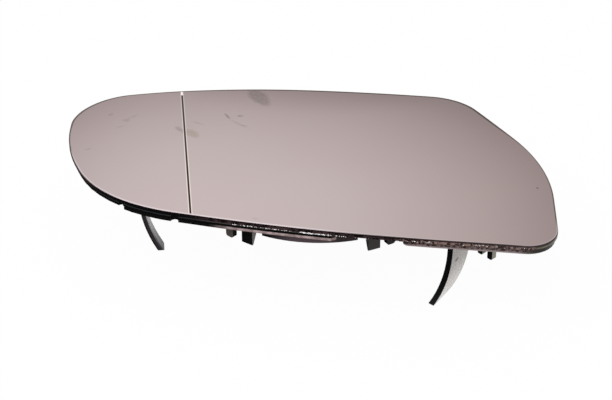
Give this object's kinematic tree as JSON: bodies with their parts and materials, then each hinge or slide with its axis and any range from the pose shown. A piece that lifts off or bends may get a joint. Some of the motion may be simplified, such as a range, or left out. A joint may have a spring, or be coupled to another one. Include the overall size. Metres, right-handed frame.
{
  "type": "car door mirror glass",
  "caption": "Left-hand door mirror glass: convex pane with aspheric outer zone, adhesive sheet and clip-on backing plate.",
  "frame": {"origin": "on the axis of the clip ring, in the plane where the adjuster's disc seats", "axes": "+Z out of the mirror's face along the clip ring's axis, +X along the mirror towards its inner end, +Y up on the car"},
  "size_m": [0.1903, 0.1136, 0.0419],
  "materials": {
    "mirror_face": "silvered glass, faint mauve tint, a few smudges",
    "adhesive_film": "pale acrylic adhesive film",
    "black_plastic": "black moulded plastic, satin"
  },
  "bodies": {
    "root": {"mirror_glass": "mirror_face", "adhesive_sheet": "adhesive_film", "backing_plate": "black_plastic"}
  },
  "joints": []
}
